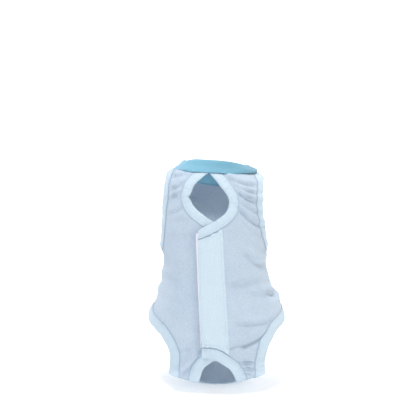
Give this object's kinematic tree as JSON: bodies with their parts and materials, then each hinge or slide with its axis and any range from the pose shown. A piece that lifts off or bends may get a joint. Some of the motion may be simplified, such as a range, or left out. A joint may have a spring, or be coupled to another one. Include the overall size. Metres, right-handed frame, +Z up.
{
  "type": "pet recovery suit",
  "caption": "Close-fitting jersey bodysuit for a small dog, with a neckband, a keyhole and closing strip down the back, and bound holes for the legs and tail.",
  "frame": {"origin": "middle of the chest hollow, where the dog's chest carries the suit (mount torso)", "axes": "+Z runs up the body from the crotch to the neck, -Y is the side of the back, +X is the wearer's right"},
  "size_m": [0.1718, 0.1626, 0.2814],
  "materials": {
    "jersey": "pale grey-blue cotton jersey, matt, with a fine mottle",
    "binding": "pale blue folded jersey binding, matt",
    "neckband": "sky blue doubled jersey, soft sheen",
    "strip": "pale blue woven strip, stitched along both edges",
    "tape": "plain hook-and-loop tape, hidden between the two halves"
  },
  "bodies": {
    "root": {"neckband": "neckband", "left_back_panel": "jersey", "right_back_panel": "jersey", "belly_panel": "jersey", "closing_strip": "strip", "fastening_tape": "tape", "left_keyhole_binding": "binding", "right_keyhole_binding": "binding", "left_armhole_binding": "binding", "right_armhole_binding": "binding", "left_leg_binding": "binding", "right_leg_binding": "binding", "tail_binding": "binding"}
  },
  "joints": []
}
